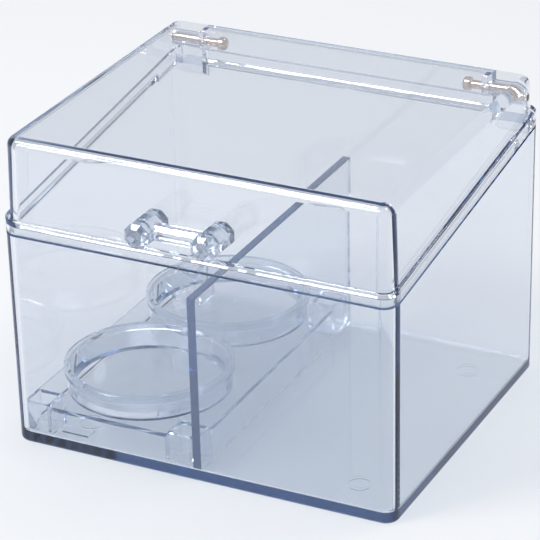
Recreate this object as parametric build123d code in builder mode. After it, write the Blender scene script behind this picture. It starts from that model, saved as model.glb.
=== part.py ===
from build123d import *
from math import atan2, cos, degrees, radians, sqrt, tan
import os

# Overall shape, in millimetres and degrees
width = 112.0
depth = 97.6
height = 88.4
lid_front_height = 27.1
lid_back_height = 14.2
wall = 2.0
floor_thickness = 2.6
corner_radius = 4.2
base_draft = 0.25
bottom_round = 1.2
inner_floor_round = 1.0
edge_break = 0.2
mould_mark_width = 8.0
mould_mark_depth = 3.4
mould_mark_height = 0.4
mould_mark_x = -40.0
mould_mark_y = -41.0

# Locating lip on the rim of the tray
lip_height = 2.2
lip_thickness = 0.9
lip_side_clearance = 0.3
lip_top_clearance = 0.4
lip_recess_from_axis = 9.6

# Lid
seam_gap = 0.3
lid_inset = 0.8
lid_corner_radius = 4.4
lid_draft = 1.45
lid_top_thickness = 2.0
lid_top_round = 2.6
lid_inner_round = 1.4
band_height = 4.5
band_foot_chamfer = 0.5

# Hinge
axis_inset_y = 5.8
axis_below_top = 5.5
pin_radius = 1.2
pin_running_clearance = 0.05
pin_length = 18.0
pin_head_radius = 1.9
pin_head_length = 2.4
pin_head_bevel = 0.7
pin_socket_depth = 1.0
knuckle_radius = 2.3
lug_width = 8.4
lug_side_clearance = 0.4
lug_web_thickness = 2.4
lug_flare_height = 3.2
gusset_height = 3.0
ear_thickness = 1.4
ear_reach = 2.6
swing_clearance = 0.3

# Divider
divider_x = -1.0
divider_thickness = 2.4
divider_drop = 8.1

# Stand with its two cups
stand_clearance = 0.3
stand_height = 9.1
stand_plate = 1.2
leg_width = 8.0
leg_depth = 8.6
leg_wall = 1.0
cup_edge_margin = 0.6
cup_gap = 1.6
cup_rim_height = 2.2
cup_rim_projection = 0.8
cup_height = 7.2
cup_wall = 1.1
cup_floor_bevel = 0.8

# Handle
handle_above_seam = 12.4
post_spacing = 18.6
post_size = 6.8
post_length = 12.8
post_front_size = 4.2
post_front_bevel = 1.3
post_root_size = 5.7
post_root_bevel = 0.9
groove_from_front = 3.4
groove_half_width = 0.45
groove_depth = 0.35
bar_size = 4.4
bar_offset = 6.6
spigot_radius = 1.5

# Slope of the parting line and the narrowing that each draft gives per millimetre of height
half_width = width / 2
half_depth = depth / 2
seam_front_z = height - lid_front_height
seam_back_z = height - lid_back_height
seam_slope = (seam_back_z - seam_front_z) / depth
base_shrink = tan(radians(base_draft))
lid_shrink = tan(radians(lid_draft))
rim_z = seam_back_z + lip_height
lid_inner_z = height - lid_top_thickness


def seam_plane(rise):
    """Give the plane of the sloping parting line, raised by rise."""
    return Plane(
        origin=(0, -half_depth, seam_front_z + rise),
        x_dir=(1, 0, 0),
        z_dir=(0, -seam_slope, 1),
    )


def tray_outline(inset):
    """Give the length, breadth and corner radius of the tray's outline, drawn in by inset."""
    return width - 2 * inset, depth - 2 * inset, corner_radius - inset


def lid_outline(inset):
    """Give the length, breadth and corner radius of the lid's wall at its foot, drawn in by inset."""
    return width - 2 * (lid_inset + inset), depth - 2 * (lid_inset + inset), lid_corner_radius - inset


# Hinge axis, and the arc about it that the lid's rear edge has to stay inside
axis_y = half_depth - axis_inset_y
axis_z = height - axis_below_top
axis_above_seam = axis_z - seam_front_z - seam_slope * (axis_y + half_depth)
swing_radius = axis_above_seam / sqrt(1 + seam_slope**2) - swing_clearance

# The lip ends in front of the arc that the rear end of its recess follows as the lid opens
recess_back_y = axis_y - lip_recess_from_axis
recess_end_drop = axis_above_seam + seam_slope * lip_recess_from_axis
recess_end_radius = sqrt(lip_recess_from_axis**2 + recess_end_drop**2)
lip_end_reach = sqrt((recess_end_radius + swing_clearance) ** 2 - (recess_end_drop - lip_height) ** 2)
lip_back_y = axis_y - lip_end_reach

# Stations across the hinge, from the lid's side wall inwards: notch, lug, ear and the pin's two ends
lid_inner_x = half_width - lid_inset - wall - (axis_z - seam_front_z) * lid_shrink
lug_outer_x = lid_inner_x - lug_side_clearance
lug_inner_x = lug_outer_x - lug_width
ear_outer_x = lug_inner_x - lug_side_clearance
ear_inner_x = ear_outer_x - ear_thickness
pin_outer_x = lid_inner_x + pin_socket_depth
pin_inner_x = pin_outer_x - pin_length

# The tray's outer block and its hollow both narrow towards the floor
rim_level_down = Plane(origin=(0, 0, rim_z), x_dir=(1, 0, 0), z_dir=(0, 0, -1))

with BuildPart() as tray_block:
    with BuildSketch(rim_level_down):
        RectangleRounded(*tray_outline(0))
    extrude(amount=rim_z, taper=base_draft)
    fillet(tray_block.faces().sort_by(Axis.Z)[0].edges(), bottom_round)

with BuildPart() as tray_hollow:
    with BuildSketch(rim_level_down):
        RectangleRounded(*tray_outline(wall))
    extrude(amount=rim_z - floor_thickness, taper=base_draft)
    fillet(tray_hollow.faces().sort_by(Axis.Z)[0].edges(), inner_floor_round)

# The lip is the inner half of the wall, carried above the parting line at the front and sides
with BuildPart() as rim_lip:
    with BuildSketch(Plane.XY.offset(seam_front_z - wall)):
        RectangleRounded(*tray_outline(wall - lip_thickness))
        RectangleRounded(*tray_outline(wall), mode=Mode.SUBTRACT)
    extrude(amount=rim_z - seam_front_z + 2 * wall)
    split(bisect_by=seam_plane(lip_height), keep=Keep.BOTTOM)
    split(bisect_by=seam_plane(-wall), keep=Keep.TOP)
    split(bisect_by=Plane(origin=(0, lip_back_y, 0), z_dir=(0, 1, 0)), keep=Keep.BOTTOM)

# Hinge lugs: a knuckle on an upright web, flared into the back wall, with a gusset down its inside
lug_back_y = axis_y + knuckle_radius
lug_front_y = lug_back_y - lug_web_thickness
lug_root_y = half_depth - wall / 2
lug_root_z = seam_back_z - wall / 2

with BuildPart() as hinge_lugs:
    with BuildSketch(Plane.YZ.offset(lug_inner_x)):
        with BuildLine():
            Polyline(
                (lug_back_y, axis_z),
                (lug_back_y, seam_back_z + lug_flare_height),
                (lug_root_y, lug_root_z),
                (lug_root_y, lug_root_z - gusset_height),
                (lug_front_y, lug_root_z),
                (lug_front_y, axis_z),
                close=True,
            )
        make_face()
        with Locations((axis_y, axis_z)):
            Circle(knuckle_radius)
            Circle(pin_radius + pin_running_clearance, mode=Mode.SUBTRACT)
    extrude(amount=lug_width)
    mirror(about=Plane.YZ)

with BuildPart() as base_box:
    add(tray_block.part)
    add(tray_hollow.part, mode=Mode.SUBTRACT)
    split(bisect_by=seam_plane(0), keep=Keep.BOTTOM)
    add(rim_lip.part)
    add(hinge_lugs.part)
    with BuildSketch(Plane.XY.offset(floor_thickness)):
        with Locations((mould_mark_x, mould_mark_y)):
            Rectangle(mould_mark_width, mould_mark_depth)
    extrude(amount=mould_mark_height)
base_box.part.label = "base_box"

# Divider: a plate cut to the shape of the hollow that it stands in
with BuildPart() as divider:
    with BuildSketch(Plane.XY):
        with Locations((divider_x, 0)):
            Rectangle(divider_thickness, depth)
    extrude(amount=seam_front_z - divider_drop)
    add(tray_hollow.part, mode=Mode.INTERSECT)
    fillet(divider.faces().sort_by(Axis.Z)[-1].edges().filter_by(Axis.Y), edge_break)
divider.part.label = "divider"

# Stand: the space that it may fill is the left compartment, drawn in by its clearance
stand_right_x = divider_x - divider_thickness / 2 - stand_clearance
plate_top_z = floor_thickness + stand_height
plate_bottom_z = plate_top_z - stand_plate
cup_top_z = plate_top_z + cup_height
plate_inset = wall + stand_clearance + (rim_z - plate_top_z) * base_shrink
stand_left_x = plate_inset - half_width
stand_back_y = half_depth - plate_inset
stand_middle_x = (stand_left_x + stand_right_x) / 2
leg_spacing_x = stand_right_x - stand_left_x - leg_width
leg_spacing_y = 2 * stand_back_y - leg_depth
cup_rim_radius = (2 * stand_back_y - 2 * cup_edge_margin - cup_gap) / 4
cup_spacing_y = 2 * cup_rim_radius + cup_gap
cup_body_radius = cup_rim_radius - cup_rim_projection
cup_bore_radius = cup_body_radius - cup_wall

with BuildPart() as stand_space:
    with BuildSketch(rim_level_down):
        RectangleRounded(*tray_outline(wall + stand_clearance))
    extrude(amount=rim_z - floor_thickness, taper=base_draft)
    chamfer(stand_space.faces().sort_by(Axis.Z)[0].edges(), inner_floor_round + stand_clearance)
    split(bisect_by=Plane(origin=(stand_right_x, 0, 0), z_dir=(1, 0, 0)), keep=Keep.BOTTOM)


def leg_outlines(inset):
    """Draw the square outlines of the four legs in the current sketch, drawn in by inset."""
    with Locations((stand_middle_x, 0)):
        with GridLocations(leg_spacing_x, leg_spacing_y, 2, 2):
            Rectangle(leg_width - 2 * inset, leg_depth - 2 * inset)


def cup_circles(radius):
    """Draw one circle for each of the two cups in the current sketch."""
    with Locations((stand_middle_x, 0)):
        with GridLocations(0, cup_spacing_y, 1, 2):
            Circle(radius)


with BuildPart() as cup_stand:
    with BuildSketch(Plane.XY.offset(floor_thickness)):
        leg_outlines(0)
    extrude(amount=stand_height)
    with BuildSketch(Plane.XY.offset(plate_bottom_z)):
        Rectangle(width, depth)
    extrude(amount=stand_plate)
    with BuildSketch(Plane.XY.offset(plate_bottom_z)):
        cup_circles(cup_body_radius)
    extrude(amount=stand_plate + cup_height)
    with BuildSketch(Plane.XY.offset(cup_top_z)):
        cup_circles(cup_rim_radius)
    extrude(amount=-cup_rim_height)
    add(stand_space.part, mode=Mode.INTERSECT)
    with BuildSketch(Plane.XY.offset(floor_thickness)):
        leg_outlines(leg_wall)
    extrude(amount=stand_height, mode=Mode.SUBTRACT)
    with BuildSketch(Plane.XY.offset(plate_top_z)):
        cup_circles(cup_bore_radius)
    extrude(amount=cup_height, mode=Mode.SUBTRACT)
    cup_edges = cup_stand.edges().filter_by(GeomType.CIRCLE)
    floor_edges = cup_edges.filter_by_position(Axis.Z, plate_top_z, plate_top_z)
    chamfer(floor_edges.filter_by(lambda edge: edge.radius < cup_body_radius - cup_wall / 2), cup_floor_bevel)
    cup_edges = cup_stand.edges().filter_by(GeomType.CIRCLE)
    chamfer(cup_edges.filter_by_position(Axis.Z, cup_top_z, cup_top_z), edge_break)
cup_stand.part.label = "cup_stand"

# Lid: the cap, its hollow and its stepped rim band
with BuildPart() as lid_cap:
    with BuildSketch(Plane.XY.offset(seam_front_z)):
        RectangleRounded(*lid_outline(0))
    extrude(amount=height - seam_front_z, taper=lid_draft)
    fillet(lid_cap.faces().sort_by(Axis.Z)[-1].edges(), lid_top_round)

with BuildPart() as lid_hollow:
    with BuildSketch(Plane.XY.offset(seam_front_z)):
        RectangleRounded(*lid_outline(wall))
    extrude(amount=lid_inner_z - seam_front_z, taper=lid_draft)
    fillet(lid_hollow.faces().sort_by(Axis.Z)[-1].edges(), lid_inner_round)

with BuildPart() as rim_band:
    with BuildSketch(Plane.XY.offset(seam_front_z)):
        RectangleRounded(*tray_outline(0))
    extrude(amount=seam_back_z - seam_front_z + 2 * band_height)
    split(bisect_by=seam_plane(band_height), keep=Keep.BOTTOM)
    split(bisect_by=seam_plane(seam_gap), keep=Keep.TOP)
    band_faces = rim_band.faces().sort_by(Axis(origin=(0, 0, 0), direction=seam_plane(0).z_dir))
    chamfer(band_faces[-1].edges(), edge_break)
    chamfer(band_faces[0].edges(), band_foot_chamfer)

# What is cut from the lid: the lip's recess, the relief behind the hinge axis and the lug notches
with BuildPart() as lip_recess:
    with BuildSketch(Plane.XY.offset(seam_front_z - wall)):
        RectangleRounded(*tray_outline(wall - lip_thickness - lip_side_clearance))
    extrude(amount=rim_z - seam_front_z + 2 * wall)
    split(bisect_by=seam_plane(lip_height + lip_top_clearance), keep=Keep.BOTTOM)
    split(bisect_by=Plane(origin=(0, recess_back_y, 0), z_dir=(0, 1, 0)), keep=Keep.BOTTOM)

with BuildPart() as swing_relief:
    with BuildSketch(Plane.YZ):
        with Locations((axis_y, axis_z)):
            Rectangle(depth, height, align=(Align.MIN, Align.MAX))
            Circle(swing_radius, mode=Mode.SUBTRACT)
    extrude(amount=width, both=True)

with BuildPart() as lug_notches:
    with BuildSketch(Plane.YZ.offset(ear_outer_x)):
        with Locations((axis_y, 0)):
            Rectangle(depth, lid_inner_z, align=(Align.MIN, Align.MIN))
    extrude(amount=lid_inner_x - ear_outer_x)
    mirror(about=Plane.YZ)

# Ears: one beside each notch, hung from the top panel and the back wall
with BuildPart() as ears:
    with BuildSketch(Plane.YZ.offset(ear_inner_x)):
        with Locations((axis_y, axis_z)):
            Circle(ear_reach)
            Rectangle(axis_inset_y, ear_reach, align=(Align.MIN, Align.MAX))
        with Locations((axis_y - ear_reach, axis_z)):
            Rectangle(axis_inset_y + ear_reach, axis_below_top, align=(Align.MIN, Align.MIN))
    extrude(amount=ear_thickness)
    mirror(about=Plane.YZ)
    add(lid_cap.part, mode=Mode.INTERSECT)

with BuildPart() as pin_holes:
    with BuildSketch(Plane.YZ):
        with Locations((axis_y, axis_z)):
            Circle(pin_radius)
    extrude(amount=pin_outer_x, both=True)

# The handle stands square to the drafted front wall of the lid
handle_z = seam_front_z + handle_above_seam
front_face_y = half_depth - lid_inset - handle_above_seam * lid_shrink
handle_plane = Plane(
    origin=(0, -front_face_y, handle_z),
    x_dir=(1, 0, 0),
    z_dir=(0, -1, lid_shrink),
)
spigot_length = wall * cos(radians(lid_draft))

with BuildPart() as lid:
    add(lid_cap.part)
    split(bisect_by=seam_plane(seam_gap), keep=Keep.TOP)
    add(rim_band.part)
    add(lid_hollow.part, mode=Mode.SUBTRACT)
    add(lip_recess.part, mode=Mode.SUBTRACT)
    add(ears.part)
    add(lug_notches.part, mode=Mode.SUBTRACT)
    add(swing_relief.part, mode=Mode.SUBTRACT)
    add(pin_holes.part, mode=Mode.SUBTRACT)
    with BuildSketch(handle_plane):
        with GridLocations(post_spacing, 0, 2, 1):
            Circle(spigot_radius)
    extrude(amount=-2 * spigot_length, mode=Mode.SUBTRACT)
lid.part.label = "lid"

# Handle: each post is a stack of octagonal prisms and tapers, so that every facet is flat
groove_middle = post_length - groove_from_front
post_sections = (
    (0, post_root_size),
    (post_root_bevel, post_size),
    (groove_middle - groove_half_width, post_size),
    (groove_middle, post_size - 2 * groove_depth),
    (groove_middle + groove_half_width, post_size),
    (post_length - post_front_bevel, post_size),
    (post_length, post_front_size),
)
flats_square = 22.5

with BuildPart() as handle_posts:
    for (start, size), (end, next_size) in zip(post_sections, post_sections[1:]):
        with BuildSketch(handle_plane.offset(start)):
            with Locations((-post_spacing / 2, 0)):
                RegularPolygon(size / 2, 8, major_radius=False, rotation=flats_square)
        extrude(amount=end - start, taper=degrees(atan2(size - next_size, 2 * (end - start))))
    with BuildSketch(handle_plane):
        with Locations((-post_spacing / 2, 0)):
            Circle(spigot_radius)
    extrude(amount=-spigot_length)
    mirror(about=Plane.YZ)

bar_start = handle_plane.offset(bar_offset).origin - Vector(post_spacing / 2, 0, 0)

with BuildPart() as handle:
    add(handle_posts.part)
    with BuildSketch(Plane(origin=bar_start, x_dir=handle_plane.z_dir, z_dir=(1, 0, 0))):
        RegularPolygon(bar_size / 2, 8, major_radius=False, rotation=flats_square)
    extrude(amount=post_spacing)
handle.part.label = "handle"

# Hinge pins: a shank turned with a round head at its inner end
with BuildPart() as hinge_pin_right:
    with BuildSketch(Plane.YZ.offset(pin_inner_x)):
        with Locations((axis_y, axis_z)):
            Circle(pin_head_radius)
    extrude(amount=pin_head_length)
    chamfer(hinge_pin_right.faces().sort_by(Axis.X)[0].edges(), pin_head_bevel)
    with BuildSketch(Plane.YZ.offset(pin_inner_x)):
        with Locations((axis_y, axis_z)):
            Circle(pin_radius)
    extrude(amount=pin_length)
hinge_pin_right.part.label = "hinge_pin_right"

with BuildPart() as hinge_pin_left:
    add(mirror(hinge_pin_right.part, about=Plane.YZ, mode=Mode.PRIVATE))
hinge_pin_left.part.label = "hinge_pin_left"

os.makedirs("parts", exist_ok=True)
for piece in (base_box, divider, cup_stand, lid, handle, hinge_pin_left, hinge_pin_right):
    export_step(piece.part, "parts/" + piece.part.label + ".step")
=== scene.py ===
"""The look of a clear hinged box for cotton swabs, dressed over its solids."""

import logging
import math
from dataclasses import dataclass, field
from enum import Enum
from typing import Optional

import bmesh
import bpy
from mathutils import Matrix, Vector


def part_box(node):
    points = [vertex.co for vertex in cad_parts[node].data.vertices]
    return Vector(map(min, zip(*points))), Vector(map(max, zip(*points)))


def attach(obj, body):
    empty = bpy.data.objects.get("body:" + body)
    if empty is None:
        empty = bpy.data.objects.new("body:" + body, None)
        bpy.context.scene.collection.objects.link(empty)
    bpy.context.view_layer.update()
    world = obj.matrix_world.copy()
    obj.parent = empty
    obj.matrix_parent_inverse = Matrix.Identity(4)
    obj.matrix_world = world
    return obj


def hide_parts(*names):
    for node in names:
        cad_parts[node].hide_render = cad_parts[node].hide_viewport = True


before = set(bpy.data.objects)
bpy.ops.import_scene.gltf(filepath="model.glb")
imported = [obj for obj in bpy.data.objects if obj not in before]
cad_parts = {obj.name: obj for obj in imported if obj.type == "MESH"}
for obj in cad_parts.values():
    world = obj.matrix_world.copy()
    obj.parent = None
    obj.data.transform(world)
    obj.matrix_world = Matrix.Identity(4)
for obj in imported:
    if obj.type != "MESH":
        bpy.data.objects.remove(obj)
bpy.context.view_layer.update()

log = logging.getLogger("swab_box")

Colour = tuple[float, float, float]
Point = tuple[float, float, float]
Span = tuple[float, float]


def srgb(red: float, green: float, blue: float) -> Colour:
    """Turn a colour given in sRGB, 0 to 255, into the linear values that shaders take.

    Args:
        red: The red part, 0 to 255.
        green: The green part, 0 to 255.
        blue: The blue part, 0 to 255.

    Returns:
        The linear colour, each part 0 to 1.
    """
    parts = [channel / 255 for channel in (red, green, blue)]
    return tuple(c / 12.92 if c <= 0.04045 else ((c + 0.055) / 1.055) ** 2.4 for c in parts)


class Nodes:
    """A short way to add nodes to one shader or geometry tree and to join them."""

    def __init__(self, tree: bpy.types.NodeTree) -> None:
        """Keep the tree that the nodes go into."""
        self.tree = tree

    def add(self, kind: str, inputs: Optional[dict] = None, **settings: object) -> bpy.types.Node:
        """Add one node.

        Args:
            kind: The node's type name.
            inputs: Socket name or number to a plain value, or to an output socket to link.
            settings: The node's own properties.

        Returns:
            The new node.
        """
        node = self.tree.nodes.new(kind)
        for key, value in settings.items():
            setattr(node, key, value)
        for key, value in (inputs or {}).items():
            if isinstance(value, bpy.types.NodeSocket):
                self.tree.links.new(value, node.inputs[key])
            else:
                node.inputs[key].default_value = value
        return node

    def maths(self, operation: str, *values: object) -> bpy.types.NodeSocket:
        """Add a Math node over plain values or sockets and give its output."""
        node = self.add("ShaderNodeMath", dict(enumerate(values)), operation=operation)
        return node.outputs[0]

    def object_place(self) -> bpy.types.NodeSocket:
        """Give the place on the object, which every pattern is laid out by."""
        return self.add("ShaderNodeTexCoord").outputs["Object"]

    def noise(
        self, place: bpy.types.NodeSocket, scale: object, detail: float
    ) -> bpy.types.NodeSocket:
        """Add soft noise over a place and give its value."""
        inputs = {"Vector": place, "Scale": scale, "Detail": detail}
        return self.add("ShaderNodeTexNoise", inputs).outputs[0]

    def ramp(self, value: bpy.types.NodeSocket, start: float, end: float) -> bpy.types.NodeSocket:
        """Turn a value that runs from start to end into one that runs from 0 to 1."""
        inputs = {"Value": value, "From Min": start, "From Max": end}
        return self.add("ShaderNodeMapRange", inputs).outputs[0]

    def mixed_colour(
        self, factor: object, first: object, second: object, blend: str = "MIX"
    ) -> bpy.types.NodeSocket:
        """Mix two colours, given as plain values or as sockets, and give the result."""
        inputs = {"Factor": factor, "A": first, "B": second}
        return self.add("ShaderNodeMix", inputs, data_type="RGBA", blend_type=blend).outputs[2]


class Effect(Enum):
    """The surface effects that more than one finish places."""

    HANDLING = "handling_haze"
    MOULD_FLOW = "mould_flow"
    PIN_MARKS = "ejector_pin_marks"


@dataclass
class Effects:
    """The shader node groups, each built once and placed by any finish that wants it."""

    haze_edges: Span = (0.48, 0.72)
    haze_detail: float = 4.0
    rub_edges: Span = (0.62, 0.74)
    rub_detail: float = 2.0
    rub_stretch: Point = (0.06, 1.0, 0.22)
    rub_share: float = 0.5
    wave_detail: float = 1.0
    groups: dict[Effect, bpy.types.NodeTree] = field(default_factory=dict)

    def __post_init__(self) -> None:
        """Build every group."""
        self.groups[Effect.HANDLING] = self._handling()
        self.groups[Effect.MOULD_FLOW] = self._mould_flow()
        self.groups[Effect.PIN_MARKS] = self._pin_marks()

    @staticmethod
    def _group(
        effect: Effect, inputs: dict[str, float], outputs: tuple[str, ...]
    ) -> tuple[Nodes, bpy.types.NodeOutputs]:
        """Start a group with its named sockets, all of them plain numbers.

        Args:
            effect: Which effect the group is for.
            inputs: Socket name to its default number.
            outputs: The outputs' names.

        Returns:
            A node adder for the group, and what the group is given.
        """
        tree = bpy.data.node_groups.new(effect.value, "ShaderNodeTree")
        kind = "NodeSocketFloat"
        for name, value in inputs.items():
            socket = tree.interface.new_socket(name=name, in_out="INPUT", socket_type=kind)
            socket.default_value = value
        for name in outputs:
            tree.interface.new_socket(name=name, in_out="OUTPUT", socket_type=kind)
        nodes = Nodes(tree)
        return nodes, nodes.add("NodeGroupInput").outputs

    def _handling(self) -> bpy.types.NodeTree:
        """Make finger haze and hair-fine rubbing marks, as a roughness and a height.

        Returns:
            The group's tree.
        """
        nodes, given = self._group(
            Effect.HANDLING,
            {"Clean Roughness": 0.03, "Haze": 0.04, "Patch Scale": 38.0, "Scratch Scale": 700.0},
            ("Roughness", "Height"),
        )
        place = nodes.object_place()
        patches = nodes.noise(place, given["Patch Scale"], self.haze_detail)
        hazed = nodes.ramp(patches, *self.haze_edges)
        stretched = nodes.add("ShaderNodeMapping", {"Vector": place, "Scale": self.rub_stretch})
        lines = nodes.noise(stretched.outputs[0], given["Scratch Scale"], self.rub_detail)
        rubbed = nodes.ramp(lines, *self.rub_edges)
        haze = nodes.maths("MULTIPLY", hazed, given["Haze"])
        share = nodes.maths("MULTIPLY", rubbed, self.rub_share)
        rubs = nodes.maths("MULTIPLY", share, given["Haze"])
        total = nodes.maths("ADD", given["Clean Roughness"], nodes.maths("ADD", haze, rubs))
        nodes.add("NodeGroupOutput", {"Roughness": total, "Height": rubbed})
        return nodes.tree

    def _mould_flow(self) -> bpy.types.NodeTree:
        """Make the slow waviness of a moulded panel, as a height and a faint change of tint.

        Returns:
            The group's tree.
        """
        nodes, given = self._group(
            Effect.MOULD_FLOW, {"Wave Scale": 14.0, "Tint Change": 0.03}, ("Height", "Tint")
        )
        wave = nodes.noise(nodes.object_place(), given["Wave Scale"], self.wave_detail)
        change = nodes.maths("MULTIPLY", wave, given["Tint Change"])
        tint = nodes.maths("SUBTRACT", 1.0, change)
        nodes.add("NodeGroupOutput", {"Height": wave, "Tint": tint})
        return nodes.tree

    def _pin_marks(self) -> bpy.types.NodeTree:
        """Make the shallow rings of a mould's ejector pins, mirrored about both middle planes.

        Returns:
            The group's tree.
        """
        nodes, given = self._group(
            Effect.PIN_MARKS,
            {"Across": 0.04, "Along": 0.034, "Radius": 0.003, "Line": 0.0002},
            ("Height",),
        )
        parts = nodes.add("ShaderNodeSeparateXYZ", {"Vector": nodes.object_place()}).outputs
        squares = []
        for part, middle in ((parts[0], given["Across"]), (parts[1], given["Along"])):
            off = nodes.maths("SUBTRACT", nodes.maths("ABSOLUTE", part), middle)
            squares.append(nodes.maths("POWER", off, 2.0))
        distance = nodes.maths("SQRT", nodes.maths("ADD", *squares))
        gap = nodes.maths("SUBTRACT", distance, given["Radius"])
        lines_off = nodes.maths("DIVIDE", nodes.maths("ABSOLUTE", gap), given["Line"])
        nodes.add("NodeGroupOutput", {"Height": nodes.ramp(lines_off, 1.0, 0.0)})
        return nodes.tree

    def place(self, nodes: Nodes, effect: Effect, **values: float) -> bpy.types.NodeOutputs:
        """Place a group in a material.

        Args:
            nodes: The material's node adder.
            effect: Which group to place.
            values: Its input values, with underscores for the spaces in their names.

        Returns:
            What the group puts out.
        """
        node = nodes.add("ShaderNodeGroup", node_tree=self.groups[effect])
        for key, value in values.items():
            node.inputs[key.replace("_", " ").title()].default_value = value
        return node.outputs


def new_material(name: str) -> tuple[bpy.types.Material, Nodes]:
    """Start a material with an empty tree.

    Args:
        name: The material's name.

    Returns:
        The material and a node adder for its tree.
    """
    material = bpy.data.materials.new(name)
    material.use_nodes = True
    material.node_tree.nodes.clear()
    return material, Nodes(material.node_tree)


def seen_rays(nodes: Nodes) -> bpy.types.NodeSocket:
    """Tell the rays that show the background: straight, reflected or through the plastic.

    Args:
        nodes: The node adder of the material or the world.

    Returns:
        A value that is one on those rays and nought on the rays that only light things.
    """
    path = nodes.add("ShaderNodeLightPath").outputs
    direct = nodes.maths("MAXIMUM", path["Is Camera Ray"], path["Is Glossy Ray"])
    return nodes.maths("MAXIMUM", direct, path["Is Transmission Ray"])


@dataclass(frozen=True)
class ClearPlastic:
    """Clear moulded plastic: glossy, a little wavy, and navy where it is seen edge on."""

    name: str
    tint: Colour = srgb(250, 251, 253)
    depth_tint: Colour = (0.15, 0.36, 0.62)
    depth_density: float = 28.0
    light_passed: Colour = (0.945, 0.95, 0.955)
    ior: float = 1.57
    clean_roughness: float = 0.012
    haze: float = 0.03
    wave: float = 0.07
    wave_scale: float = 14.0
    wave_depth: float = 0.0006
    rub_strength: float = 0.04
    rub_depth: float = 0.00002
    pin_marks: float = 0.0
    pin_mark_depth: float = 0.00005
    standing_wear: float = 0.0
    wear_height: float = 0.0003
    wear_scale: float = 260.0
    wear_detail: float = 3.0

    def _relief(
        self,
        nodes: Nodes,
        effects: Effects,
        waves: bpy.types.NodeSocket,
        rubs: bpy.types.NodeSocket,
    ) -> bpy.types.NodeSocket:
        """Lay the panel's waves, the rubbing marks and any pin marks over each other.

        Args:
            nodes: The material's node adder.
            effects: The shared node groups.
            waves: The height of the panel's waves.
            rubs: The height of the rubbing marks.

        Returns:
            The surface's normal.
        """
        layers = [(waves, self.wave, self.wave_depth), (rubs, self.rub_strength, self.rub_depth)]
        if self.pin_marks:
            rings = effects.place(nodes, Effect.PIN_MARKS)["Height"]
            layers.append((rings, self.pin_marks, self.pin_mark_depth))
        under = {}
        for height, strength, depth in layers:
            inputs = {"Strength": strength, "Distance": depth, "Height": height, **under}
            normal = nodes.add("ShaderNodeBump", inputs).outputs[0]
            under = {"Normal": normal}
        return normal

    def _standing_wear(self, nodes: Nodes) -> bpy.types.NodeSocket:
        """Make the rubbed patches on the face that the piece stands on.

        Args:
            nodes: The material's node adder.

        Returns:
            How much rougher the surface is there.
        """
        place = nodes.object_place()
        height = nodes.add("ShaderNodeSeparateXYZ", {"Vector": place}).outputs["Z"]
        low = nodes.ramp(height, self.wear_height, 0.0)
        rubs = nodes.noise(place, self.wear_scale, self.wear_detail)
        return nodes.maths("MULTIPLY", nodes.maths("MULTIPLY", rubs, low), self.standing_wear)

    def build(self, effects: Effects) -> bpy.types.Material:
        """Make the material.

        Args:
            effects: The shared node groups.

        Returns:
            The finished material.
        """
        material, nodes = new_material(self.name)
        handling = effects.place(
            nodes, Effect.HANDLING, clean_roughness=self.clean_roughness, haze=self.haze
        )
        flow = effects.place(nodes, Effect.MOULD_FLOW, wave_scale=self.wave_scale)
        roughness = handling["Roughness"]
        if self.standing_wear:
            roughness = nodes.maths("ADD", roughness, self._standing_wear(nodes))
        body = nodes.add(
            "ShaderNodeBsdfPrincipled",
            {
                "Base Color": nodes.mixed_colour(1.0, (*self.tint, 1.0), flow["Tint"], "MULTIPLY"),
                "Roughness": roughness,
                "IOR": self.ior,
                "Transmission Weight": 1.0,
                "Normal": self._relief(nodes, effects, flow["Height"], handling["Height"]),
            },
        )
        lets_light = nodes.add("ShaderNodeBsdfTransparent", {"Color": (*self.light_passed, 1.0)})
        path = nodes.add("ShaderNodeLightPath").outputs
        lighting = nodes.maths("MAXIMUM", path["Is Shadow Ray"], path["Is Diffuse Ray"])
        surface = nodes.add(
            "ShaderNodeMixShader", {0: lighting, 1: body.outputs[0], 2: lets_light.outputs[0]}
        )
        inside = nodes.add(
            "ShaderNodeVolumeAbsorption",
            {"Color": (*self.depth_tint, 1.0), "Density": self.depth_density},
        )
        nodes.add(
            "ShaderNodeOutputMaterial", {"Surface": surface.outputs[0], "Volume": inside.outputs[0]}
        )
        return material


@dataclass(frozen=True)
class DrawnSteel:
    """Bright drawn steel wire, its colour tinted peach as a painted warm reflection, with fine
    turning lines round the pin.
    """

    name: str
    # The peach in this colour is a painted warm reflection laid over the steel's own pale colour.
    colour: Colour = srgb(222, 201, 187)
    roughness: float = 0.13
    haze: float = 0.12
    haze_scale: float = 500.0
    line_stretch: Point = (6000.0, 40.0, 40.0)
    line_detail: float = 2.0
    line_strength: float = 0.15
    line_depth: float = 0.00002
    line_shade: float = 0.82

    def build(self, effects: Effects) -> bpy.types.Material:
        """Make the material.

        Args:
            effects: The shared node groups.

        Returns:
            The finished material.
        """
        material, nodes = new_material(self.name)
        handling = effects.place(
            nodes,
            Effect.HANDLING,
            clean_roughness=self.roughness,
            haze=self.haze,
            patch_scale=self.haze_scale,
        )
        along = nodes.add(
            "ShaderNodeMapping", {"Vector": nodes.object_place(), "Scale": self.line_stretch}
        )
        lines = nodes.noise(along.outputs[0], 1.0, self.line_detail)
        bump = nodes.add(
            "ShaderNodeBump",
            {"Strength": self.line_strength, "Distance": self.line_depth, "Height": lines},
        )
        shaded = [part * self.line_shade for part in self.colour]
        body = nodes.add(
            "ShaderNodeBsdfPrincipled",
            {
                "Base Color": nodes.mixed_colour(lines, (*self.colour, 1.0), (*shaded, 1.0)),
                "Metallic": 1.0,
                "Roughness": handling["Roughness"],
                "Normal": bump.outputs[0],
            },
        )
        nodes.add("ShaderNodeOutputMaterial", {"Surface": body.outputs[0]})
        return material


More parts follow.
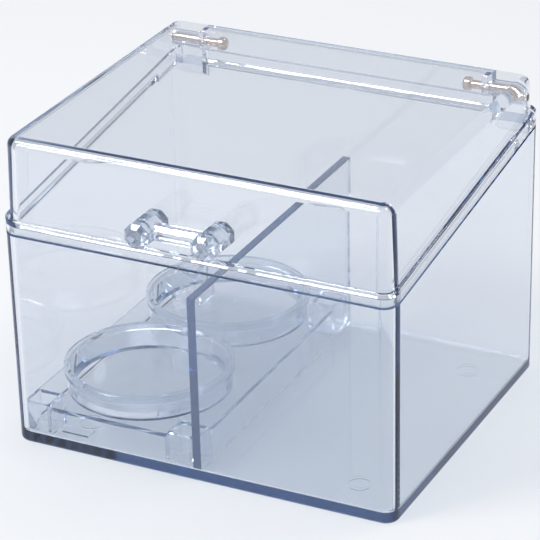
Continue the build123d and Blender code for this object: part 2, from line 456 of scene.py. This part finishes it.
@dataclass(frozen=True)
class PaleFloor:
    """The floor's matt, faintly mottled finish, which fades into the background further out."""

    name: str = "pale_floor"
    colour: Colour = srgb(238, 239, 241)
    background: Colour = srgb(206, 209, 214)
    roughness: float = 0.7
    mottle: float = 0.97
    mottle_scale: float = 3.0
    mottle_detail: float = 2.0
    fade_start: float = 0.45
    fade_end: float = 1.6

    def build(self) -> bpy.types.Material:
        """Make the material.

        Returns:
            The finished material.
        """
        material, nodes = new_material(self.name)
        place = nodes.object_place()
        patches = nodes.noise(place, self.mottle_scale, self.mottle_detail)
        darker = [part * self.mottle for part in self.colour]
        colour = nodes.mixed_colour(patches, (*self.colour, 1.0), (*darker, 1.0))
        body = nodes.add(
            "ShaderNodeBsdfPrincipled", {"Base Color": colour, "Roughness": self.roughness}
        )
        away = nodes.add("ShaderNodeVectorMath", {0: place}, operation="LENGTH")
        far = nodes.add(
            "ShaderNodeMapRange",
            {
                "Value": away.outputs["Value"],
                "From Min": self.fade_start,
                "From Max": self.fade_end,
            },
            interpolation_type="SMOOTHSTEP",
        )
        fade = nodes.maths("MULTIPLY", far.outputs[0], seen_rays(nodes))
        plain = nodes.add(
            "ShaderNodeEmission", {"Color": (*self.background, 1.0), "Strength": 1.0}
        )
        surface = nodes.add(
            "ShaderNodeMixShader", {0: fade, 1: body.outputs[0], 2: plain.outputs[0]}
        )
        nodes.add("ShaderNodeOutputMaterial", {"Surface": surface.outputs[0]})
        return material


def dress(node: str, material: bpy.types.Material) -> None:
    """Give a solid of the model its finish in every one of its slots.

    Args:
        node: The solid's name.
        material: The finish.
    """
    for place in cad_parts[node].material_slots:
        place.material = material
    log.info("dressed %s with %s", node, material.name)


def copy_solid(
    node: str, name: str, weld: float = 0.000002, flat_within: float = math.radians(0.3)
) -> tuple[bpy.types.Mesh, bmesh.types.BMesh]:
    """Start a piece from a solid of the model, merged and with its flat faces made whole.

    Args:
        node: The solid's name.
        name: The new piece's name.
        weld: How near two corners are to be one.
        flat_within: How far two faces may turn from each other and still be one flat face.

    Returns:
        The new mesh, still empty, and the shape that goes into it.
    """
    shape = bmesh.new()
    shape.from_mesh(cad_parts[node].data)
    bmesh.ops.remove_doubles(shape, verts=shape.verts, dist=weld)
    bmesh.ops.dissolve_limit(
        shape,
        angle_limit=flat_within,
        verts=shape.verts,
        edges=shape.edges,
        use_dissolve_boundaries=False,
    )
    for face in shape.faces:
        face.smooth = True
    return bpy.data.meshes.new(name), shape


def finish_piece(
    mesh: bpy.types.Mesh,
    shape: bmesh.types.BMesh,
    material: bpy.types.Material,
    body: str,
    node: str,
    crisp_angle: float = math.radians(30.0),
) -> bpy.types.Object:
    """Finish a clear piece that was started from a solid, and let it stand for that solid.

    Args:
        mesh: The piece's mesh, still empty.
        shape: The shape that goes into it.
        material: Its finish.
        body: The body that it rides on.
        node: The solid's name.
        crisp_angle: The turn between faces above which their edge stays crisp.

    Returns:
        The finished piece.
    """
    shape.to_mesh(mesh)
    shape.free()
    mesh.set_sharp_from_angle(angle=crisp_angle)
    mesh.materials.clear()
    mesh.materials.append(material)
    piece = bpy.data.objects.new(mesh.name, mesh)
    bpy.context.scene.collection.objects.link(piece)
    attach(piece, body)
    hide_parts(node)
    log.info("built %s with %d faces", piece.name, len(mesh.polygons))
    return piece


@dataclass
class Tray:
    """The open tray and the divider that stands in it."""

    tray_finish: ClearPlastic = ClearPlastic("clear_tray", pin_marks=0.6, standing_wear=0.1)
    divider_finish: ClearPlastic = ClearPlastic("clear_divider", wave=0.08)
    glue_line: float = 0.00003

    def dress(self, effects: Effects) -> None:
        """Give the tray its finish."""
        dress("base_box", self.tray_finish.build(effects))

    def build_divider(self, effects: Effects) -> bpy.types.Object:
        """Make the divider again from its solid, a glue line short of the floor and the walls.

        Args:
            effects: The shared node groups.

        Returns:
            The finished divider.
        """
        mesh, shape = copy_solid("divider", "divider_plate")
        low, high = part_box("divider")
        middle = (low[1] + high[1]) / 2
        shorter = 1 - 2 * self.glue_line / (high[1] - low[1])
        lower = 1 - self.glue_line / (high[2] - low[2])
        for corner in shape.verts:
            corner.co.y = middle + (corner.co.y - middle) * shorter
            corner.co.z = high[2] + (corner.co.z - high[2]) * lower
        return finish_piece(mesh, shape, self.divider_finish.build(effects), "base", "divider")


@dataclass
class CupStand:
    """The loose stand with its two cups, moulded thinner and a little wavier than the tray."""

    finish: ClearPlastic = ClearPlastic("clear_stand", wave=0.18, wave_scale=40.0, haze=0.05)
    foot_gap: float = 0.00003

    def build(self, effects: Effects) -> bpy.types.Object:
        """Make the stand again from its solid, with its feet a hair off the tray's floor.

        Args:
            effects: The shared node groups.

        Returns:
            The finished stand.
        """
        mesh, shape = copy_solid("cup_stand", "cup_stand_moulding")
        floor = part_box("cup_stand")[0][2]
        for corner in shape.verts:
            corner.co.z = max(corner.co.z, floor + self.foot_gap)
        return finish_piece(mesh, shape, self.finish.build(effects), "stand", "cup_stand")


@dataclass
class Lid:
    """The hinged lid with its faceted handle."""

    finish: ClearPlastic = ClearPlastic("clear_lid", haze=0.02)
    handle_finish: ClearPlastic = ClearPlastic(
        "clear_handle", clean_roughness=0.0, wave=0.0, haze=0.01, depth_density=20.0
    )
    facet_round: float = 0.00018
    facet_round_steps: int = 2
    facet_angle: float = math.radians(18.0)

    def dress(self, effects: Effects) -> None:
        """Give the lid its finish."""
        dress("lid", self.finish.build(effects))

    def build_handle(self, effects: Effects) -> bpy.types.Object:
        """Make the handle again from its solid, with the edges between facets polished round.

        Args:
            effects: The shared node groups.

        Returns:
            The finished handle.
        """
        mesh, shape = copy_solid("handle", "faceted_handle")
        material = self.handle_finish.build(effects)
        handle = finish_piece(mesh, shape, material, "lid", "handle", self.facet_angle)
        rounding = handle.modifiers.new("facet_round", "BEVEL")
        rounding.width = self.facet_round
        rounding.segments = self.facet_round_steps
        rounding.limit_method = "ANGLE"
        rounding.angle_limit = self.facet_angle
        rounding.harden_normals = True
        return handle


@dataclass
class HingePins:
    """The two turned pins of the hinge, made as one row and turned from one outline."""

    finish: DrawnSteel = DrawnSteel("bright_steel")
    nodes: tuple[str, str] = ("hinge_pin_left", "hinge_pin_right")
    shank_share: float = 1.2 / 1.9
    head_length: float = 0.0024
    dome_length: float = 0.0011
    dome_steps: int = 9
    crown_share: float = 0.02
    neck_groove: float = 0.00012
    groove_length: float = 0.00048
    head_slope: float = 0.00003
    end_round: float = 0.0003
    sides: int = 40
    crisp_angle: float = math.radians(25.0)
    row_inputs: dict[str, str] = field(
        default_factory=lambda: {
            "Sides": "NodeSocketInt",
            "Pin Spacing": "NodeSocketFloat",
            "Axis Depth": "NodeSocketFloat",
            "Axis Height": "NodeSocketFloat",
            "Finish": "NodeSocketMaterial",
        }
    )

    def _outline(self, length: float, head_radius: float) -> list[Span]:
        """Give the pin's outline as distances from its inner end and radii.

        Args:
            length: The whole pin's length.
            head_radius: The radius of its head.

        Returns:
            The points from the crown of the head to the far end.
        """
        shank = head_radius * self.shank_share
        turns = [math.pi / 2 * step / self.dome_steps for step in range(1, self.dome_steps + 1)]
        dome = [(self.dome_length * (1 - math.cos(t)), head_radius * math.sin(t)) for t in turns]
        groove_end = self.head_length + self.groove_length
        return [
            (0.0, head_radius * self.crown_share),
            *dome,
            (self.head_length - self.neck_groove, head_radius),
            (self.head_length, head_radius - self.neck_groove),
            (self.head_length + self.head_slope, shank - self.neck_groove),
            (groove_end, shank - self.neck_groove),
            (groove_end + self.neck_groove, shank),
            (length - self.end_round, shank),
            (length, shank - self.end_round),
        ]

    def _turned(self, nodes: Nodes, given: bpy.types.NodeOutputs) -> bpy.types.NodeSocket:
        """Turn the outline into one pin, with crisp edges where it bends sharply.

        Args:
            nodes: The tree's node adder.
            given: What the tree is given.

        Returns:
            The pin's mesh.
        """
        radius = nodes.add(
            "GeometryNodeInputNamedAttribute", {"Name": "turned_radius"}, data_type="FLOAT"
        )
        line = nodes.add("GeometryNodeMeshToCurve", {"Mesh": given["Outline"]})
        circle = nodes.add(
            "GeometryNodeCurvePrimitiveCircle", {"Resolution": given["Sides"], "Radius": 1.0}
        )
        turned = nodes.add(
            "GeometryNodeCurveToMesh",
            {
                "Curve": line.outputs["Curve"],
                "Profile Curve": circle.outputs["Curve"],
                "Scale": radius.outputs["Attribute"],
                "Fill Caps": True,
            },
        )
        angle = nodes.add("GeometryNodeInputMeshEdgeAngle")
        gentle = nodes.add(
            "FunctionNodeCompare",
            {0: angle.outputs[0], 1: self.crisp_angle},
            operation="LESS_THAN",
        )
        shaded = nodes.add(
            "GeometryNodeSetShadeSmooth",
            {"Geometry": turned.outputs["Mesh"], "Shade Smooth": gentle.outputs[0]},
            domain="EDGE",
        )
        return shaded.outputs["Geometry"]

    def _tree(self) -> bpy.types.NodeTree:
        """Build the tree that turns the outline and sets a pin at each end of the hinge line.

        Returns:
            The finished tree.
        """
        tree = bpy.data.node_groups.new("turned_pins", "GeometryNodeTree")
        sockets = {"Outline": "NodeSocketGeometry", **self.row_inputs}
        for name, kind in sockets.items():
            tree.interface.new_socket(name=name, in_out="INPUT", socket_type=kind)
        tree.interface.new_socket(name="Pins", in_out="OUTPUT", socket_type="NodeSocketGeometry")
        nodes = Nodes(tree)
        given = nodes.add("NodeGroupInput").outputs
        start = nodes.add(
            "ShaderNodeCombineXYZ",
            {
                "X": nodes.maths("MULTIPLY", given["Pin Spacing"], -0.5),
                "Y": given["Axis Depth"],
                "Z": given["Axis Height"],
            },
        )
        step = nodes.add("ShaderNodeCombineXYZ", {"X": given["Pin Spacing"]})
        ends = nodes.add(
            "GeometryNodeMeshLine",
            {
                "Count": len(self.nodes),
                "Start Location": start.outputs[0],
                "Offset": step.outputs[0],
            },
        )
        order = nodes.add("GeometryNodeInputIndex")
        first = nodes.maths("SUBTRACT", 1.0, order.outputs[0])
        half_turn = nodes.maths("MULTIPLY", first, math.pi)
        turn = nodes.add("ShaderNodeCombineXYZ", {"Z": half_turn})
        row = nodes.add(
            "GeometryNodeInstanceOnPoints",
            {
                "Points": ends.outputs["Mesh"],
                "Instance": self._turned(nodes, given),
                "Rotation": turn.outputs[0],
            },
        )
        real = nodes.add("GeometryNodeRealizeInstances", {"Geometry": row.outputs["Instances"]})
        finished = nodes.add(
            "GeometryNodeSetMaterial", {"Geometry": real.outputs[0], "Material": given["Finish"]}
        )
        nodes.add("NodeGroupOutput", {"Pins": finished.outputs[0]})
        return tree

    @staticmethod
    def _outline_mesh(outline: list[Span]) -> bpy.types.Mesh:
        """Lay the outline along a line of points that carry its radii.

        Args:
            outline: Distances along the pin and radii.

        Returns:
            The line's mesh.
        """
        line = bpy.data.meshes.new("pin_outline")
        points = [(along, 0, 0) for along, _ in outline]
        line.from_pydata(points, [(i, i + 1) for i in range(len(points) - 1)], [])
        radii = line.attributes.new("turned_radius", "FLOAT", "POINT")
        radii.data.foreach_set("value", [radius for _, radius in outline])
        return line

    def build(self, effects: Effects) -> bpy.types.Object:
        """Turn the outline, set the pins in a row and make one plain mesh of them.

        Args:
            effects: The shared node groups.

        Returns:
            The finished pins.
        """
        low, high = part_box(self.nodes[1])
        outline = self._outline(high[0] - low[0], (high[1] - low[1]) / 2)
        maker = bpy.data.objects.new("pin_maker", self._outline_mesh(outline))
        bpy.context.scene.collection.objects.link(maker)
        tree = self._tree()
        turning = maker.modifiers.new("turned_pins", "NODES")
        turning.node_group = tree
        values = {
            "Sides": self.sides,
            "Pin Spacing": 2 * low[0],
            "Axis Depth": (low[1] + high[1]) / 2,
            "Axis Height": (low[2] + high[2]) / 2,
            "Finish": self.finish.build(effects),
        }
        for socket in tree.interface.items_tree:
            if socket.in_out == "INPUT" and socket.name in values:
                turning[socket.identifier] = values[socket.name]
        turned = maker.evaluated_get(bpy.context.evaluated_depsgraph_get())
        mesh = bpy.data.meshes.new_from_object(turned)
        mesh.name = "hinge_pins"
        bpy.data.objects.remove(maker)
        pins = bpy.data.objects.new("hinge_pins", mesh)
        bpy.context.scene.collection.objects.link(pins)
        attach(pins, "lid")
        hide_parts(*self.nodes)
        log.info("built %s with %d faces", pins.name, len(mesh.polygons))
        return pins


@dataclass(frozen=True)
class SoftBox:
    """One soft lamp: where it hangs, how large it is and how much light it gives."""

    name: str
    place: Point
    size: Span
    power: float
    aim: Point = (0.0, 0.0, 0.05)

    def hang(self) -> None:
        """Make the lamp and turn it towards its aim."""
        data = bpy.data.lights.new(self.name, "AREA")
        data.shape = "RECTANGLE"
        data.size, data.size_y = self.size
        data.energy = self.power
        lamp = bpy.data.objects.new(self.name, data)
        lamp.location = self.place
        away = Vector(self.aim) - Vector(self.place)
        lamp.rotation_euler = away.to_track_quat("-Z", "Y").to_euler()
        bpy.context.scene.collection.objects.link(lamp)


@dataclass
class Studio:
    """The plain floor, the lamps and the camera."""

    floor_finish: PaleFloor = PaleFloor()
    boxes: tuple[SoftBox, ...] = (
        SoftBox("key_box", (-0.65, -0.75, 1.3), (0.5, 0.5), 15.0),
        SoftBox("fill_box", (0.8, 0.9, 1.5), (0.8, 0.6), 8.0),
    )
    air_colour: Colour = (0.95, 0.97, 1.0)
    air_strength: float = 0.55
    camera_azimuth: float = 26.89
    camera_elevation: float = 25.95
    camera_roll: float = -1.40
    camera_distance: float = 0.74479
    camera_aim: Point = (-0.002288, 0.0, 0.039757)
    camera_reach: Span = (0.05, 20.0)
    frame_pixels: float = 540.0
    focal_pixels: float = 2758.85
    sensor: float = 36.0
    floor_height: float = -0.0002
    floor_half_width: float = 8.0
    walls_crossed: int = 80

    def floor(self) -> None:
        """Lay the pale floor, which runs on into the background."""
        side = self.floor_half_width
        corners = [(-side, -side), (side, -side), (side, side), (-side, side)]
        mesh = bpy.data.meshes.new("floor")
        mesh.from_pydata([(x, y, self.floor_height) for x, y in corners], [], [(0, 1, 2, 3)])
        mesh.materials.append(self.floor_finish.build())
        floor = bpy.data.objects.new("floor", mesh)
        bpy.context.scene.collection.objects.link(floor)

    def lamps(self) -> None:
        """Hang the soft boxes, light the room evenly and show a plain background."""
        for soft_box in self.boxes:
            soft_box.hang()
        world = bpy.data.worlds.new("studio_air")
        world.use_nodes = True
        world.node_tree.nodes.clear()
        nodes = Nodes(world.node_tree)
        air = nodes.add(
            "ShaderNodeBackground",
            {"Color": (*self.air_colour, 1.0), "Strength": self.air_strength},
        )
        plain = nodes.add(
            "ShaderNodeBackground",
            {"Color": (*self.floor_finish.background, 1.0), "Strength": 1.0},
        )
        surroundings = nodes.add(
            "ShaderNodeMixShader", {0: seen_rays(nodes), 1: air.outputs[0], 2: plain.outputs[0]}
        )
        nodes.add("ShaderNodeOutputWorld", {"Surface": surroundings.outputs[0]})
        bpy.context.scene.world = world

    def camera(self) -> None:
        """Set the camera at the photograph's angle, distance and lens."""
        azimuth = math.radians(self.camera_azimuth)
        elevation = math.radians(self.camera_elevation)
        roll = math.radians(self.camera_roll)
        flat = Vector((math.sin(azimuth), -math.cos(azimuth), 0.0))
        back = flat * math.cos(elevation) + Vector((0.0, 0.0, math.sin(elevation)))
        right = (-back).cross(Vector((0, 0, 1))).normalized()
        up = right.cross(-back).normalized()
        turned = Matrix((right, up, back)).transposed() @ Matrix.Rotation(roll, 3, "Z")
        place = Vector(self.camera_aim) + back * self.camera_distance
        data = bpy.data.cameras.new("camera")
        data.sensor_width = self.sensor
        data.lens = self.sensor * self.focal_pixels / self.frame_pixels
        data.clip_start, data.clip_end = self.camera_reach
        camera = bpy.data.objects.new("camera", data)
        camera.matrix_world = Matrix.Translation(place) @ turned.to_4x4()
        bpy.context.scene.collection.objects.link(camera)
        bpy.context.scene.camera = camera

    def build(self) -> None:
        """Build the whole studio, and let light cross every wall of the box."""
        self.floor()
        self.lamps()
        self.camera()
        scene = bpy.context.scene
        scene.view_settings.view_transform = "Standard"
        scene.cycles.transparent_max_bounces = self.walls_crossed
        scene.cycles.transmission_bounces = self.walls_crossed
        scene.cycles.glossy_bounces = self.walls_crossed
        scene.cycles.max_bounces = self.walls_crossed


def main() -> None:
    """Build the studio, dress the solids and make the pieces that stand for some of them."""
    logging.basicConfig(level=logging.INFO, format="%(name)s: %(message)s")
    Studio().build()
    effects = Effects()
    tray = Tray()
    tray.dress(effects)
    tray.build_divider(effects)
    CupStand().build(effects)
    lid = Lid()
    lid.dress(effects)
    lid.build_handle(effects)
    HingePins().build(effects)


if __name__ == "__main__":
    main()
